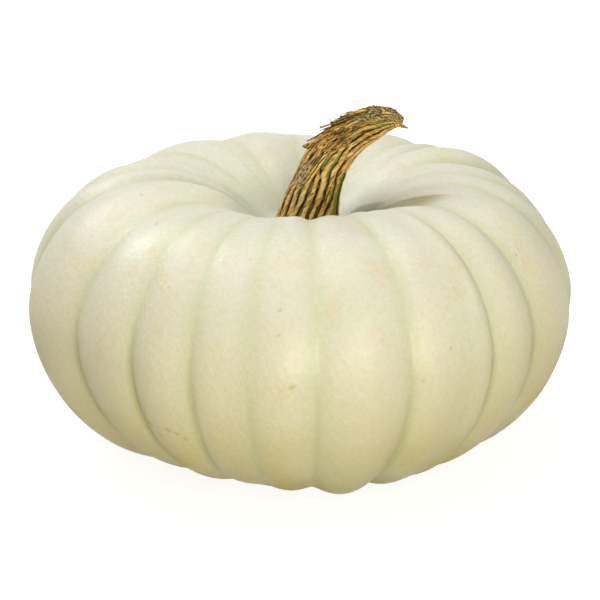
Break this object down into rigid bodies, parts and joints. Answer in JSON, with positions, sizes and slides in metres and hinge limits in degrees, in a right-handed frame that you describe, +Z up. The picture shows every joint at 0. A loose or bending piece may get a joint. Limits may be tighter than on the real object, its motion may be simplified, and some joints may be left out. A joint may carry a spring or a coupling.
{
  "type": "pumpkin",
  "caption": "Whole flat ribbed pumpkin with a cream rind, a deep hollow round the stem and a bent corky stem, resting on its underside.",
  "frame": {"origin": "on the ground, under the middle of the whole pumpkin's box, which is within 2 mm of the fruit's own axis", "axes": "+Z up along the fruit's axis from the blossom end to the stem; +X the way the stem bends; -Y the side that is seen from the front"},
  "size_m": [0.3035, 0.3006, 0.1949],
  "materials": {
    "rind": "smooth waxy rind, satin, cream with green furrows",
    "cork": "dry corky bark, matt, cracked lengthwise"
  },
  "bodies": {
    "root": {"fruit": "rind", "stem": "cork"}
  },
  "joints": []
}
